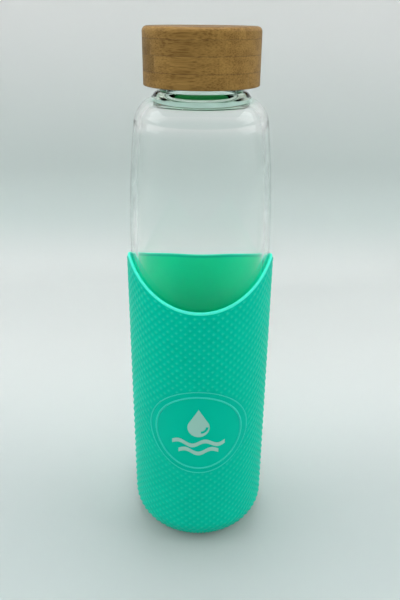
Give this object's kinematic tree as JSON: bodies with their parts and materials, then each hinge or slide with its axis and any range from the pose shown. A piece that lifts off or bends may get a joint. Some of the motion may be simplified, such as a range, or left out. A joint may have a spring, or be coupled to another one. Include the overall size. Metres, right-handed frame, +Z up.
{
  "type": "glass water bottle",
  "caption": "Clear glass water bottle with a bumpy silicone sleeve, whose rim dips at the front and the rear, and a laminated bamboo screw cap.",
  "frame": {"origin": "centre of the sleeve's underside, where the bottle stands", "axes": "+Z up along the bottle's axis; the emblem faces -Y; +X to the right of someone facing the emblem"},
  "size_m": [0.068, 0.068, 0.2446],
  "materials": {
    "sleeve_silicone": "satin",
    "emblem_ink": "satin",
    "clear_glass": "polished",
    "seal_silicone": "satin",
    "liner_plastic": "satin",
    "bamboo": "satin"
  },
  "bodies": {
    "sleeve": {"silicone_sleeve": "sleeve_silicone", "emblem_print": "emblem_ink"},
    "bottle": {"glass_bottle": "clear_glass"},
    "seal": {"sealing_ring": "seal_silicone"},
    "cap": {"cap_liner": "liner_plastic", "bamboo_base_front": "bamboo", "bamboo_base_left": "bamboo", "bamboo_base_right": "bamboo", "bamboo_base_rear": "bamboo", "bamboo_lower_front": "bamboo", "bamboo_lower_left": "bamboo", "bamboo_lower_right": "bamboo", "bamboo_lower_rear": "bamboo", "bamboo_upper_front": "bamboo", "bamboo_upper_left": "bamboo", "bamboo_upper_right": "bamboo", "bamboo_upper_rear": "bamboo", "bamboo_top_front": "bamboo", "bamboo_top_middle": "bamboo", "bamboo_top_rear": "bamboo"}
  },
  "joints": [
    {"name": "bottle_lift", "type": "slide", "parent": "sleeve", "child": "bottle", "axis": [0, 0, 1], "range_m": [0, 0.155]},
    {"name": "cap_rise", "type": "slide", "parent": "bottle", "child": "seal", "axis": [0, 0, 1], "range_m": [0, 0.02]},
    {"name": "cap_turn", "type": "hinge", "parent": "seal", "child": "cap", "pos_m": [0, 0, 0.2221], "axis": [0, 0, 1], "range_deg": [0, 1800]}
  ],
  "couplings": [
    {"joint": "cap_rise", "follows": "cap_turn", "m_per_rad": 0.00063662}
  ]
}
